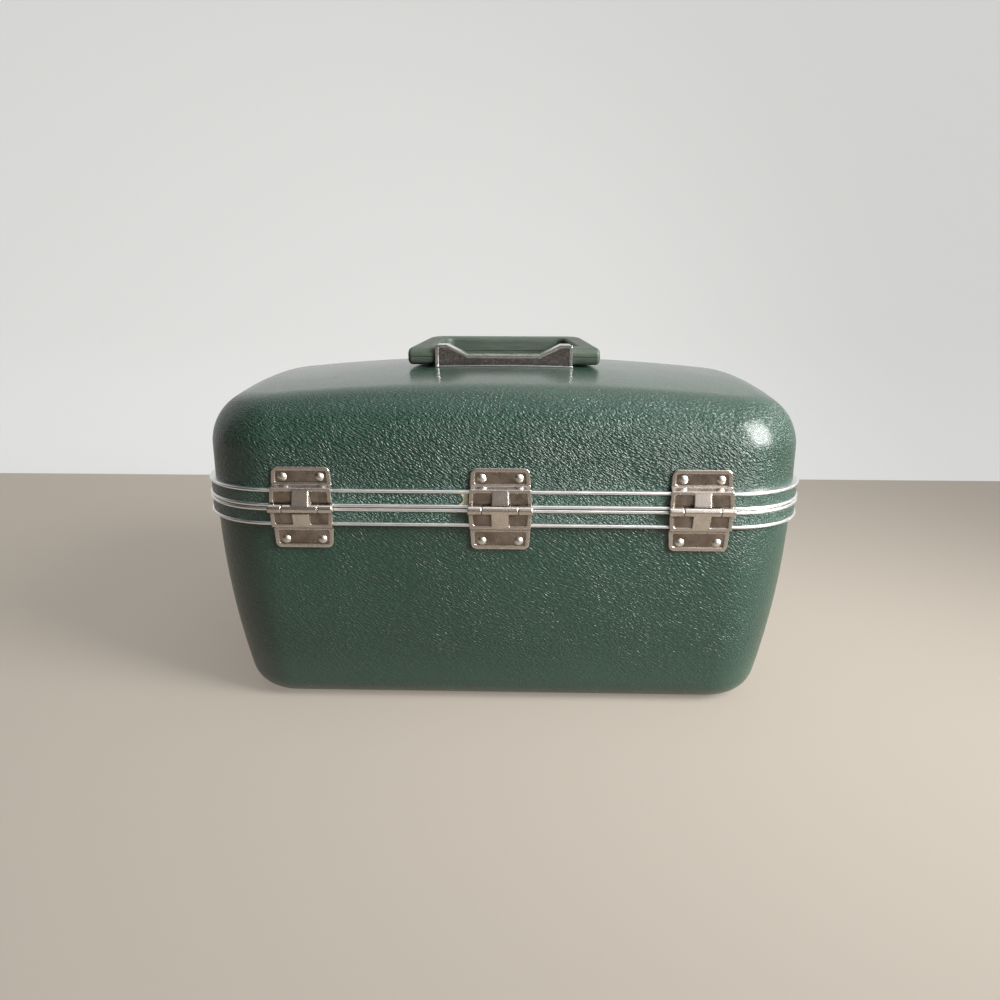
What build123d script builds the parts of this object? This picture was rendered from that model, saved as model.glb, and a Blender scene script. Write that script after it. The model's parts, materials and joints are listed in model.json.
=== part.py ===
from build123d import *
from math import asin, cos, degrees, radians, sin, sqrt
import os

os.makedirs("parts", exist_ok=True)

# Cosmetic train case: a deep moulded base and a crowned lid, each with a bent aluminium rim,
# three stop hinges behind, two hasp locks in front, a folding handle, a mirror and a lift-out tray.
# Millimetres. X is the case's width, -Y the hinge side, +Y the lock side, +Z up.
# The origin is the centre of the flat bottom that the case rests on.

# Case body, measured over the aluminium beads
case_width = 356.0
case_depth = 236.0
bead_proud = 3.5
corner_radius = 46.0
shell_wall = 2.4

# Base shell: bulged sides that turn into a flat bottom
base_depth = 129.5
base_bulge = 520.0
base_round = 20.0
base_core_round = 6.0

# Lid shell: upright sides under a crown that is curved both ways
crown_height = 71.6
crown_arc_across = 1430.0
crown_arc_deep = 770.0
lid_round = 31.0

# Aluminium rims, one on each shell, and the vinyl strip laid in them
parting_gap = 0.4
seat_gap = 0.05
rim_slack = 0.2
rim_web = 1.0
rim_height = 10.4
rim_inner_height = 9.0
bead_height = 2.0
tongue_gap = 0.5
tongue_wall = 0.8
tongue_height = 3.0
inlay_thickness = 1.5
inlay_joint_centre = -21.0
inlay_joint_width = 6.0

# Linings
lining_gap = 1.4
lining_wall = 1.2
lid_lining_drop = 4.0

# Stop hinges
hinge_pitch = 111.5
leaf_width = 36.0
leaf_end_width = 32.4
leaf_reach_lid = 22.8
leaf_reach_base = 24.2
leaf_thickness = 1.2
leaf_corner = 3.2
leaf_border = 2.2
leaf_panel_depth = 0.35
leaf_step_run = 1.6
leaf_step_shift = 0.6
pin_stand = 6.1
pin_inset = 0.5
knuckle_radius = 2.6
middle_knuckle = 20.0
knuckle_gap = 0.35
running_gap = 0.05
hinge_pin_radius = 1.1
rib_face = 9.4
rib_foot = 13.0
rib_rise = 2.6

# Rivets
rivet_pitch = 20.8
rivet_up_lid = 17.0
rivet_down_base = 19.4
rivet_shank = 1.4
rivet_head = 2.6
rivet_dome = 1.2
rivet_tail = 2.3
rivet_tail_height = 0.9

# Handle bracket on the lid's crown
bracket_width = 87.0
bracket_depth = 13.0
bracket_back = 28.0
ear_height = 13.2
ear_top = 7.5
ear_slope = 13.0
saddle_height = 6.8
bracket_lip = 1.9
bracket_recess = 0.9
bracket_flange = 1.2
bracket_root = 18.0
flange_thickness = 0.7
bracket_rivet_pitch = 44.0
bracket_rivet_radius = 2.0
backing_thickness = 1.4
bracket_rivet_grip = 4.5

# Folding handle, modelled folded down towards the locks
handle_width = 123.2
handle_far_width = 100.0
handle_reach = 65.0
handle_pivot_height = 76.6
handle_end_radius = 5.2
handle_bar_thickness = 14.2
handle_bar_depth = 18.5
handle_arm = 12.4
handle_corner = 10.0
handle_inner_corner = 7.0
handle_nose = 4.6
handle_sweep = 40.0
handle_edge = 2.2
handle_side_gap = 0.4
handle_block_length = 13.0
handle_seam = 0.25
core_width = 6.0
core_thickness = 3.0
core_corner = 12.0
core_eye = 3.5
core_gap = 0.1
handle_pin_radius = 1.8
handle_pin_seat = 9.0
handle_pin_reach = 15.5

# Hasp locks on the front
lock_pitch = 105.0
lock_width = 58.0
lock_top = 2.0
lock_drop = 26.0
lock_stand = 9.4
lock_corner = 3.0
lock_edge = 0.8
channel_gap = 1.3
channel_floor = 5.6
channel_drop = 20.6
hasp_thickness = 1.6
hasp_back = 6.4
hasp_drop = 18.0
hasp_lip = 2.4
hasp_corner = 1.2
hasp_pivot_up = 7.5
hasp_plate_foot = 1.0
latch_level = -10.0
latch_gap = 0.3
lock_clearance = 0.4
bolt_height = 5.2
bolt_thickness = 2.4
bolt_length = 8.0
bolt_back = 5.4
pocket_end = 27.5
button_near = 11.8
button_length = 12.0
button_height = 9.0
button_stand = 2.6
button_edge = 0.7
button_travel = 5.0
grip_groove = 0.8
stem_near = 14.6
stem_width = 3.4
stem_height = 3.0
spring_strip = 0.3
spring_folds = 8
barrel_radius = 4.2
barrel_offset = 20.0
barrel_stand = 0.6
barrel_back = 5.2
key_slot_width = 1.2
key_slot_length = 5.0
key_slot_depth = 3.0

# Mirror under the crown of the lid
mirror_length = 224.0
mirror_depth = 124.0
mirror_thickness = 3.0
mirror_corner = 9.0
mirror_face_height = 50.5
mirror_frame_border = 7.0
mirror_frame_lip = 1.0
mirror_overlap = 3.0
mirror_pad_inset = 4.0

# Lift-out tray and the two ledges that it stands on
tray_side_gap = 6.2
tray_below_parting = 10.0
tray_depth = 42.0
tray_draft = 4.0
tray_wall = 1.8
tray_round = 6.0
tray_divider_offset = 56.0
tray_divider_drop = 6.0
tray_lug_width = 58.0
tray_lug_height = 13.0
tray_lug_slot = 30.0
tray_lug_slot_height = 6.0
tray_lug_round = 5.0
ledge_width = 16.0
ledge_thickness = 7.0
ledge_length = 130.0
rest_gap = 0.3

# Sizes that follow from the ones above
shell_half_x = case_width / 2 - bead_proud
shell_half_y = case_depth / 2 - bead_proud
parting = base_depth
core_reach = corner_radius - base_core_round
rim_inner_face = -(shell_wall + rim_slack)
lining_face = shell_wall + lining_gap
rim_top = parting_gap / 2 + rim_height
leaf_over_beads = bead_proud + seat_gap
hinge_places = {"left": -hinge_pitch, "middle": 0.0, "right": hinge_pitch}
lock_places = {"left": -1, "right": 1}


def wall_inset(depth):
    """How far the bulged base wall lies inside the rim at a depth below the parting."""
    return base_bulge - sqrt(base_bulge**2 - depth**2)


def crown_level(x, y):
    """Height of the lid's crown over the parting plane."""
    across = crown_arc_across - sqrt(crown_arc_across**2 - x**2)
    deep = crown_arc_deep - sqrt((crown_arc_deep - across) ** 2 - y**2)
    return crown_height - deep


# Planes to draw on. A side plane shows a section: its X points out of the case, its Y up.
# A view plane shows the outline seen from outside: its Y points up.
def rear_side(x):
    return Plane(origin=(x, -shell_half_y, parting), x_dir=(0, -1, 0), z_dir=(-1, 0, 0))


def front_side(x):
    return Plane(origin=(x, shell_half_y, parting), x_dir=(0, 1, 0), z_dir=(1, 0, 0))


def rear_view(x):
    return Plane(origin=(x, -shell_half_y, parting), x_dir=(1, 0, 0), z_dir=(0, -1, 0))


def front_view(x):
    return Plane(origin=(x, shell_half_y, parting), x_dir=(-1, 0, 0), z_dir=(0, 1, 0))


def rivet_plane(view, x, up):
    """Plane through a rivet's axis: local Y points out of the case along the rivet."""
    centre = view.from_local_coords(Vector(x, up, 0))
    return Plane(origin=centre, x_dir=view.x_dir, z_dir=view.x_dir.cross(view.z_dir))


def band(out_from, out_to, up_from, up_to):
    """Rectangle between two distances out of the shell and two heights."""
    with Locations(((out_from + out_to) / 2, (up_from + up_to) / 2)):
        Rectangle(abs(out_to - out_from), abs(up_to - up_from))


def finish(piece, name):
    """Label a finished piece and write it as one STEP file."""
    piece.part.label = name
    export_step(piece.part, f"parts/{name}.step")


# Shell forms
def round_the_rim(draw, *sizes):
    """Carry a section round the rounded rectangle of the rim: one quarter, mirrored twice."""
    corner_x = shell_half_x - corner_radius
    corner_y = shell_half_y - corner_radius
    end_side = Plane(origin=(shell_half_x, 0, parting), x_dir=(1, 0, 0), z_dir=(0, -1, 0))
    with BuildPart() as ring:
        with BuildSketch(rear_side(0)) as section:
            draw(*sizes)
        extrude(section.sketch, amount=-corner_x)
        with BuildSketch(rear_side(corner_x)) as section:
            draw(*sizes)
        revolve(section.sketch, axis=Axis((corner_x, -corner_y, 0), (0, 0, 1)), revolution_arc=90)
        with BuildSketch(end_side) as section:
            draw(*sizes)
        extrude(section.sketch, amount=corner_y)
        mirror(about=Plane.YZ)
        mirror(about=Plane.XZ)
    return ring.part


def base_section(inset):
    """Section of the base's side: one arc centred at the parting height, then the bottom edge."""
    side_turn = degrees(asin((base_depth - base_round) / (base_bulge - base_round)))
    with BuildLine() as outline:
        side = JernArc((-inset, 0), (0, -1), base_bulge - inset, -side_turn)
        foot = JernArc(side @ 1, side % 1, base_round - inset, side_turn - 90)
        Polyline(foot @ 1, (-core_reach, inset - base_depth), (-core_reach, 0), (-inset, 0))
    make_face(outline.edges())


def base_form(inset):
    """Solid bounded by the base shell's outer face, drawn inwards by inset."""
    with BuildPart() as form:
        add(round_the_rim(base_section, inset))
        with BuildSketch(Plane.XY.offset(inset)):
            middle_x = 2 * (shell_half_x - core_reach)
            middle_y = 2 * (shell_half_y - core_reach)
            RectangleRounded(middle_x, middle_y, corner_radius - core_reach)
        extrude(amount=base_depth - inset)
    return form.part


def crown_form(inset):
    """Thick barrel whose top is the lid's crown: an arc across, carried round a long axis."""
    top = parting + crown_height - inset
    span = shell_half_x + corner_radius
    edge = top - (crown_arc_across - sqrt(crown_arc_across**2 - span**2))
    with BuildPart() as form:
        with BuildSketch(Plane.XZ):
            with BuildLine():
                ThreePointArc((-span, edge), (0, top), (span, edge))
                low = parting - span / 2
                Polyline((span, edge), (span, low), (-span, low), (-span, edge))
            make_face()
        revolve(axis=Axis((0, 0, parting + crown_height - crown_arc_deep), (1, 0, 0)))
    return form.part


def lid_form(inset, crown_inset):
    """Solid bounded by the lid shell's outer face, with its own insets for walls and crown."""
    with BuildPart() as form:
        with BuildSketch(Plane.XY.offset(parting)):
            wide = 2 * (shell_half_x - inset)
            deep = 2 * (shell_half_y - inset)
            RectangleRounded(wide, deep, corner_radius - inset)
        extrude(amount=crown_height + lid_round)
        add(crown_form(crown_inset), mode=Mode.INTERSECT)
        fillet(form.faces().sort_by(Axis.Z)[-1].edges(), lid_round - inset)
    return form.part


def rivet_holes(view, places):
    """Clearance holes for rivets along the outward direction of a view plane."""
    with BuildSketch(view) as holes:
        with Locations(*places):
            Circle(rivet_shank + seat_gap)
    extrude(holes.sketch, amount=corner_radius / 2, both=True, mode=Mode.SUBTRACT)


def hinge_rivet_places(up):
    return [(side * rivet_pitch / 2, up) for side in (-1, 1)]


# Base shell
with BuildPart() as base_shell:
    add(base_form(0))
    add(base_form(shell_wall), mode=Mode.SUBTRACT)
    split(bisect_by=Plane.XY.offset(parting - parting_gap / 2 - rim_web - seat_gap), keep=Keep.BOTTOM)
    for place in hinge_places.values():
        rivet_holes(rear_view(place), hinge_rivet_places(-rivet_down_base))
    for side in lock_places.values():
        rivet_holes(front_view(side * lock_pitch), hinge_rivet_places(-(lock_drop - lock_corner)))
finish(base_shell, "base_shell")

# Lid shell
with BuildPart() as lid_shell:
    add(lid_form(0, 0))
    add(lid_form(shell_wall, shell_wall), mode=Mode.SUBTRACT)
    split(bisect_by=Plane.XY.offset(parting + parting_gap / 2 + rim_web + seat_gap), keep=Keep.TOP)
    for place in hinge_places.values():
        rivet_holes(rear_view(place), hinge_rivet_places(rivet_up_lid))
    for side in lock_places.values():
        rivet_holes(front_view(side * lock_pitch), hinge_rivet_places(rivet_up_lid))
    with BuildSketch(Plane.XY.offset(parting + crown_height)):
        with Locations((-bracket_rivet_pitch / 2, -bracket_back), (bracket_rivet_pitch / 2, -bracket_back)):
            Circle(bracket_rivet_radius + seat_gap)
    extrude(amount=lid_round, both=True, mode=Mode.SUBTRACT)
finish(lid_shell, "lid_shell")


# Aluminium rims: a channel that takes the shell's edge, with a bead above and below the strip
def bead(up):
    """Half-round bead on the rim's outer web, centred at a height."""
    nose = bead_proud - bead_height / 2
    band(seat_gap, nose, up - bead_height / 2, up + bead_height / 2)
    with Locations((nose, up)):
        Circle(bead_height / 2)


def rim_section(way):
    """Section of a rim, upwards for the lid (way 1) and downwards for the base (way -1)."""
    floor = parting_gap / 2
    web_out = seat_gap + rim_web
    band(seat_gap, web_out, way * floor, way * rim_top)
    band(rim_inner_face - rim_web, rim_inner_face, way * floor, way * rim_inner_height)
    band(rim_inner_face - rim_web, web_out, way * floor, way * (floor + rim_web))
    bead(way * (floor + bead_height / 2))
    bead(way * (rim_top - bead_height / 2))


def tongue_section():
    """Upstand inside the base rim that keeps dust out behind the lid rim."""
    tongue_out = rim_inner_face - rim_web - tongue_gap
    floor = parting_gap / 2
    band(tongue_out - tongue_wall, tongue_out, -floor - rim_web, tongue_height)
    band(tongue_out - tongue_wall, rim_inner_face, -floor - rim_web, -floor)


def inlay_section(way):
    """Vinyl strip between the beads of a rim."""
    inner = seat_gap + rim_web + seat_gap / 2
    near = parting_gap / 2 + bead_height + seat_gap
    far = rim_top - bead_height - seat_gap
    band(inner, inner + inlay_thickness, way * near, way * far)


for half, way in (("lid", 1), ("base", -1)):
    with BuildPart() as rim:
        add(round_the_rim(rim_section, way))
        if half == "base":
            add(round_the_rim(tongue_section))
    finish(rim, f"{half}_frame")


strip_middle = parting_gap / 2 + rim_height / 2
strip_end_radius = rim_height / 2 - bead_height

with BuildPart() as base_inlay:
    add(round_the_rim(inlay_section, -1))
finish(base_inlay, "base_inlay")

with BuildPart() as lid_inlay:
    add(round_the_rim(inlay_section, 1))
    with BuildSketch(rear_view(inlay_joint_centre)):
        with Locations((0, strip_middle)):
            Rectangle(inlay_joint_width, rim_height)
        with Locations((-inlay_joint_width / 2, strip_middle)):
            Circle(strip_end_radius, mode=Mode.SUBTRACT)
    extrude(amount=bead_proud * 2, both=True, mode=Mode.SUBTRACT)
finish(lid_inlay, "lid_inlay")

with BuildPart() as inlay_joint_plug:
    with BuildSketch(rear_side(inlay_joint_centre)):
        inlay_section(1)
    extrude(amount=inlay_joint_width / 2 - seat_gap, both=True)
    with BuildSketch(rear_view(inlay_joint_centre)):
        with Locations((-inlay_joint_width / 2, strip_middle)):
            Circle(strip_end_radius + seat_gap)
    extrude(amount=bead_proud * 2, both=True, mode=Mode.SUBTRACT)
finish(inlay_joint_plug, "inlay_joint_plug")

# Linings: thin formed liners that stop at the rims' inner walls
with BuildPart() as base_lining:
    add(base_form(lining_face))
    add(base_form(lining_face + lining_wall), mode=Mode.SUBTRACT)
    split(bisect_by=Plane.XY.offset(parting - rim_inner_height - rest_gap), keep=Keep.BOTTOM)
finish(base_lining, "base_lining")

lining_crown = shell_wall + lid_lining_drop
with BuildPart() as lid_lining:
    add(lid_form(lining_face, lining_crown))
    add(lid_form(lining_face + lining_wall, lining_crown + lining_wall), mode=Mode.SUBTRACT)
    split(bisect_by=Plane.XY.offset(parting + rim_inner_height + rest_gap), keep=Keep.TOP)
finish(lid_lining, "lid_lining")


# Hinge leaves: a sheet that lies over the beads and steps in to the shell
def bent_sheet(side, width, way, reach):
    """Sheet with its step, as wide as it needs, centred on a side plane."""
    over = leaf_over_beads
    step_from = rim_top + seat_gap
    step_to = step_from + leaf_step_run
    inner = [(over, 0), (over, step_from), (seat_gap, step_to), (seat_gap, reach)]
    shifts = (0, leaf_step_shift, leaf_step_shift, 0)
    outer = [(out + leaf_thickness, up + shift) for (out, up), shift in zip(inner, shifts)]
    with BuildSketch(side) as section:
        with BuildLine():
            Polyline(*[(out, way * up) for out, up in inner + outer[::-1]], close=True)
        make_face()
    extrude(section.sketch, amount=width / 2, both=True)


def leaf_outline(view, width, end_width, way, reach):
    """Outline of a leaf seen from outside: full width at the pin, narrower at its end."""
    with BuildSketch(view) as outline:
        with BuildLine():
            Polyline(
                (-width / 2, -way * knuckle_radius),
                (width / 2, -way * knuckle_radius),
                (end_width / 2, way * reach),
                (-end_width / 2, way * reach),
                close=True,
            )
        make_face()
        far_corners = outline.vertices().group_by(Axis.Y)[-1 if way > 0 else 0]
        fillet(far_corners, leaf_corner)
    extrude(outline.sketch, amount=corner_radius / 2, both=True, mode=Mode.INTERSECT)


def sink_panel(view, level, corners):
    """Sink a panel into a sheet, given the height of the sheet's face and the panel's corners."""
    with BuildSketch(view.offset(level - leaf_panel_depth)) as panel:
        with BuildLine():
            Polyline(*corners, close=True)
        make_face()
        fillet(panel.vertices(), leaf_border / 2)
    extrude(panel.sketch, amount=leaf_over_beads, mode=Mode.SUBTRACT)


def leaf_panels(view, way, reach):
    """Sunk panels inside a raised border: one round the rivets, and one on each side of the rib."""

    def border(up):
        taper = (leaf_width - leaf_end_width) / 2 / (reach + knuckle_radius)
        return leaf_width / 2 - taper * (up + knuckle_radius) - leaf_border

    near = rim_top + leaf_step_run + leaf_step_shift + leaf_border / 2
    far = reach - leaf_border
    corners = [(border(near), near), (border(far), far), (-border(far), far), (-border(near), near)]
    sink_panel(view, seat_gap + leaf_thickness, [(x, way * up) for x, up in corners])
    far = rim_top - leaf_border / 2
    for side in (-1, 1):
        corners = [(rib_face / 2, 0), (border(0), 0), (border(far), far), (rib_face / 2, far)]
        sink_panel(view, leaf_over_beads + leaf_thickness, [(side * x, way * up) for x, up in corners])


def knuckle_spans(centre_only):
    """Centre and length of the knuckles that a leaf owns: the middle one or the outer two."""
    if centre_only:
        return [(0, middle_knuckle)]
    outer = (leaf_width - middle_knuckle) / 2 - knuckle_gap
    offset = middle_knuckle / 2 + knuckle_gap + outer / 2
    return [(-offset, outer), (offset, outer)]


def rods(place, spans, stand, up, radius, mode=Mode.ADD, side=rear_side):
    """Round bars along X on the hinge line."""
    for offset, length in spans:
        with BuildSketch(side(place + offset)) as rod:
            with Locations((stand, up)):
                Circle(radius)
        extrude(rod.sketch, amount=length / 2, both=True, mode=mode)


def rib(place, way, owner):
    """Wedge rib: level with the sheet at the step, and proud of it next to the pin."""
    near = 0 if owner else knuckle_radius / 2
    proud = pin_stand + knuckle_radius - seat_gap if owner else leaf_over_beads + leaf_thickness + rib_rise
    level = leaf_over_beads + leaf_thickness
    faces = []
    for up, foot, out in ((near, rib_foot, proud), (rim_top, rib_face, level + seat_gap)):
        base = Plane(origin=(place, -shell_half_y, parting + way * up), x_dir=(1, 0, 0), z_dir=(0, 0, 1))
        with BuildSketch(base) as section:
            with BuildLine():
                Polyline(
                    (-foot / 2, -leaf_over_beads),
                    (foot / 2, -leaf_over_beads),
                    (rib_face / 2, -out),
                    (-rib_face / 2, -out),
                    close=True,
                )
            make_face()
        faces.append(section.sketch)
    loft(faces, ruled=True)


def hinge_leaf(place, way, owner):
    """One leaf. The owner of the middle knuckle has a rib that wraps over the pin."""
    reach = leaf_reach_lid if way > 0 else leaf_reach_base
    rivet_up = rivet_up_lid if way > 0 else -rivet_down_base
    own = knuckle_spans(owner)
    other = [(offset, length + 2 * knuckle_gap) for offset, length in knuckle_spans(not owner)]
    with BuildPart() as leaf:
        bent_sheet(rear_side(place), leaf_width, way, reach)
        leaf_outline(rear_view(place), leaf_width, leaf_end_width, way, reach)
        leaf_panels(rear_view(place), way, reach)
        rib(place, way, owner)
        rods(place, other, pin_stand, 0, knuckle_radius + knuckle_gap, Mode.SUBTRACT)
        rods(place, own, pin_stand, 0, knuckle_radius)
        rods(place, own, pin_stand, 0, hinge_pin_radius + running_gap, Mode.SUBTRACT)
        rivet_holes(rear_view(place), hinge_rivet_places(rivet_up))
    return leaf


for name, place in hinge_places.items():
    lid_owns = name == "left"
    finish(hinge_leaf(place, 1, lid_owns), f"hinge_leaf_lid_{name}")
    finish(hinge_leaf(place, -1, not lid_owns), f"hinge_leaf_base_{name}")
    with BuildPart() as hinge_pin:
        rods(place, [(0, leaf_width - 2 * pin_inset)], pin_stand, 0, hinge_pin_radius)
    finish(hinge_pin, f"hinge_pin_{name}")


def rivet(view, x, up, grip_in, grip_out):
    """Domed rivet through the wall: its shank spans the grip, its tail is set inside."""
    dome_radius = (rivet_head**2 + rivet_dome**2) / (2 * rivet_dome)
    dome_turn = degrees(asin(rivet_head / dome_radius))
    with BuildSketch(rivet_plane(view, x, up)) as half_section:
        with BuildLine():
            Polyline(
                (0, grip_out + rivet_dome),
                (0, -grip_in - rivet_tail_height),
                (rivet_tail, -grip_in - rivet_tail_height),
                (rivet_tail, -grip_in),
                (rivet_shank, -grip_in),
                (rivet_shank, grip_out),
                (rivet_head, grip_out),
            )
            CenterArc((0, grip_out + rivet_dome - dome_radius), dome_radius, 90 - dome_turn, dome_turn)
        make_face()
    axis_foot = view.from_local_coords(Vector(x, up, 0))
    revolve(half_section.sketch, axis=Axis(axis_foot, view.z_dir))


sheet_face = seat_gap + leaf_thickness - leaf_panel_depth
with BuildPart() as hinge_rivets_lid:
    for place in hinge_places.values():
        for x, up in hinge_rivet_places(rivet_up_lid):
            rivet(rear_view(place), x, up, shell_wall, sheet_face)
finish(hinge_rivets_lid, "hinge_rivets_lid")

with BuildPart() as hinge_rivets_base:
    for place in hinge_places.values():
        for x, up in hinge_rivet_places(-rivet_down_base):
            base_grip = shell_wall + wall_inset(rivet_down_base + rivet_tail) + seat_gap
            rivet(rear_view(place), x, up, base_grip, sheet_face)
finish(hinge_rivets_base, "hinge_rivets_base")

# Handle bracket: a plated casting on the crown with an ear at each end
bracket_y = -bracket_back
bracket_foot = parting + crown_level(0, bracket_y)


def bracket_outline(inset):
    """Front outline of the bracket: ears at the ends and a low saddle between them."""
    half = bracket_width / 2 - inset
    ear_inner = bracket_width / 2 - ear_top
    saddle_edge = ear_inner - ear_slope
    ear_level = bracket_foot + ear_height - inset
    saddle_level = bracket_foot + saddle_height - inset
    low = bracket_foot - bracket_root
    points = [(half, low), (half, ear_level), (ear_inner, ear_level), (saddle_edge, saddle_level)]
    mirrored = [(-x, z) for x, z in points[::-1]]
    with BuildLine() as outline:
        Polyline(*points, *mirrored, close=True)
    make_face(outline.edges())


with BuildPart() as bracket_flange_sheet:
    with BuildSketch(Plane.XY.offset(bracket_foot - bracket_root)):
        with Locations((0, bracket_y)):
            Rectangle(bracket_width, bracket_depth + 2 * bracket_flange)
    extrude(amount=2 * bracket_root)
    add(crown_form(-seat_gap - flange_thickness), mode=Mode.INTERSECT)
    add(crown_form(-seat_gap), mode=Mode.SUBTRACT)

with BuildPart() as handle_bracket:
    with BuildSketch(Plane.XZ.offset(bracket_back)):
        bracket_outline(0)
    extrude(amount=bracket_depth / 2, both=True)
    ear_corners = handle_bracket.edges().filter_by(Axis.Y).group_by(Axis.Z)[-1]
    fillet(ear_corners, bracket_lip)
    for front in (-1, 1):
        with BuildSketch(Plane.XZ.offset(bracket_back + front * (bracket_depth / 2 - bracket_recess))):
            bracket_outline(bracket_lip)
        extrude(amount=front * bracket_recess * 2, mode=Mode.SUBTRACT)
    add(crown_form(-seat_gap), mode=Mode.SUBTRACT)
    add(bracket_flange_sheet.part)
    for side in (-1, 1):
        pin_hole = Plane(
            origin=(side * bracket_width / 2, bracket_y, parting + handle_pivot_height),
            z_dir=(-side, 0, 0),
        )
        with BuildSketch(pin_hole):
            Circle(handle_pin_radius + seat_gap)
        extrude(amount=handle_pin_seat + seat_gap, mode=Mode.SUBTRACT)
    with BuildSketch(Plane.XY.offset(bracket_foot - bracket_root)):
        with Locations((-bracket_rivet_pitch / 2, bracket_y), (bracket_rivet_pitch / 2, bracket_y)):
            Circle(bracket_rivet_radius + seat_gap)
    extrude(amount=bracket_root + bracket_rivet_grip + seat_gap, mode=Mode.SUBTRACT)
finish(handle_bracket, "handle_bracket")

with BuildPart() as bracket_backing_plate:
    with BuildSketch(Plane.XY.offset(bracket_foot - bracket_root)):
        with Locations((0, bracket_y)):
            RectangleRounded(bracket_width, bracket_depth + 2 * bracket_lip, bracket_lip)
        with Locations((-bracket_rivet_pitch / 2, bracket_y), (bracket_rivet_pitch / 2, bracket_y)):
            Circle(bracket_rivet_radius + seat_gap, mode=Mode.SUBTRACT)
    extrude(amount=2 * bracket_root)
    add(crown_form(shell_wall + seat_gap), mode=Mode.INTERSECT)
    add(crown_form(shell_wall + seat_gap + backing_thickness), mode=Mode.SUBTRACT)
finish(bracket_backing_plate, "bracket_backing_plate")

bracket_rivet_head = 2 * bracket_rivet_radius
with BuildPart() as bracket_rivets:
    for side in (-1, 1):
        rivet_x = side * bracket_rivet_pitch / 2
        head_corner = crown_level(abs(rivet_x) + bracket_rivet_head, bracket_back + bracket_rivet_head)
        under = parting + head_corner - shell_wall - backing_thickness - 2 * seat_gap
        with BuildSketch(Plane.XY.offset(under)):
            with Locations((rivet_x, bracket_y)):
                Circle(bracket_rivet_head)
        extrude(amount=-rivet_dome)
        with BuildSketch(Plane.XY.offset(under)):
            with Locations((rivet_x, bracket_y)):
                Circle(bracket_rivet_radius)
        extrude(amount=bracket_foot + bracket_rivet_grip - under)
finish(bracket_rivets, "bracket_rivets")

# Folding handle: a steel core between two moulded halves
pivot_level = parting + handle_pivot_height
block_inner = bracket_width / 2 + handle_side_gap
handle_far = bracket_y + handle_reach
bar_inner = handle_far - handle_bar_depth
block_front = bracket_y - handle_end_radius
block_back = block_front + handle_block_length


def arm_side(y):
    """How far a handle arm's outer side lies from the middle: the arms draw in towards the bar."""
    taper = (handle_width - handle_far_width) / 2 / (handle_far - block_front)
    return handle_width / 2 - taper * (y - block_front)


def handle_plan():
    """Plan of the folded handle: blocks at the bracket, arms, and the bar across their far ends."""
    half = [
        (block_inner, block_front),
        (arm_side(block_front), block_front),
        (arm_side(handle_far), handle_far),
    ]
    inner = [
        (arm_side(bar_inner) - handle_arm, bar_inner),
        (arm_side(block_back) - handle_arm, block_back),
        (block_inner, block_back),
    ]
    mirrored_half = [(-x, y) for x, y in half[::-1]]
    mirrored_inner = [(-x, y) for x, y in inner[::-1]]
    with BuildLine() as outline:
        Polyline(*half, *mirrored_half, *mirrored_inner, *inner, close=True)
    make_face(outline.edges())


def pin_bar(radius, near, length, mode=Mode.ADD):
    """Bars on the handle's pivot line, starting at a distance from the case's middle."""
    for side in (-1, 1):
        start = Plane(origin=(side * near, bracket_y, pivot_level), z_dir=(side, 0, 0))
        with BuildSketch(start) as bar:
            Circle(radius)
        extrude(bar.sketch, amount=length, mode=mode)


def core_form(grow):
    """Steel strap bent to a U, with an eye round each pin, grown all over for its cavity."""
    half = core_width / 2 + grow
    far = handle_far - handle_bar_depth / 2 + half
    near_far = far - 2 * half

    def strap(y, way):
        return arm_side(y) - handle_arm / 2 + way * half

    outer = [(strap(bracket_y, 1), bracket_y), (strap(far, 1), far)]
    inner = [(strap(near_far, -1), near_far), (strap(bracket_y, -1), bracket_y)]
    left_outer = [(-x, y) for x, y in outer[::-1]]
    left_inner = [(-x, y) for x, y in inner[::-1]]
    with BuildPart() as form:
        with BuildSketch(Plane.XY.offset(pivot_level)) as plan:
            with BuildLine():
                Polyline(*outer, *left_outer, *left_inner, *inner, close=True)
            make_face()
            fillet(plan.vertices().group_by(Axis.Y)[-1], core_corner + grow)
            bend = plan.vertices().filter_by(lambda v: abs(v.Y - near_far) < seat_gap)
            fillet(bend, core_corner - core_width)
        extrude(amount=core_thickness / 2 + grow, both=True)
        pin_bar(core_eye + grow, strap(bracket_y, -1), 2 * half)
    return form.part


with BuildPart() as handle_form:
    with BuildSketch(Plane.XY.offset(pivot_level - handle_end_radius)) as plan:
        handle_plan()
        fillet(plan.vertices().group_by(Axis.Y)[-1], handle_corner)
        fillet(plan.vertices().filter_by(lambda v: abs(v.Y - bar_inner) < seat_gap), handle_inner_corner)
    extrude(amount=handle_bar_thickness)
    with BuildSketch(Plane.YZ) as side:
        low = pivot_level - handle_end_radius
        bar_top = low + handle_bar_thickness
        with BuildLine():
            Polyline(
                (block_front, low),
                (handle_far, low),
                (handle_far, bar_top),
                (bar_inner, bar_top),
                (block_front, low + 2 * handle_end_radius),
                close=True,
            )
        make_face()
        fillet(side.vertices().group_by(Axis.X)[0], handle_nose)
        fillet(side.vertices().filter_by(lambda v: abs(v.X - bar_inner) < seat_gap), handle_sweep)
    extrude(amount=handle_width, both=True, mode=Mode.INTERSECT)
    sides = handle_form.edges().filter_by(lambda e: abs(e.center().X) > handle_width / 2 - handle_edge)
    long_edges = handle_form.edges().filter_by(Axis.Z, reverse=True)
    long_edges = long_edges.filter_by(lambda e: e.center().Y > block_back + handle_edge)
    fillet(sides + long_edges, handle_edge)

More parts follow.
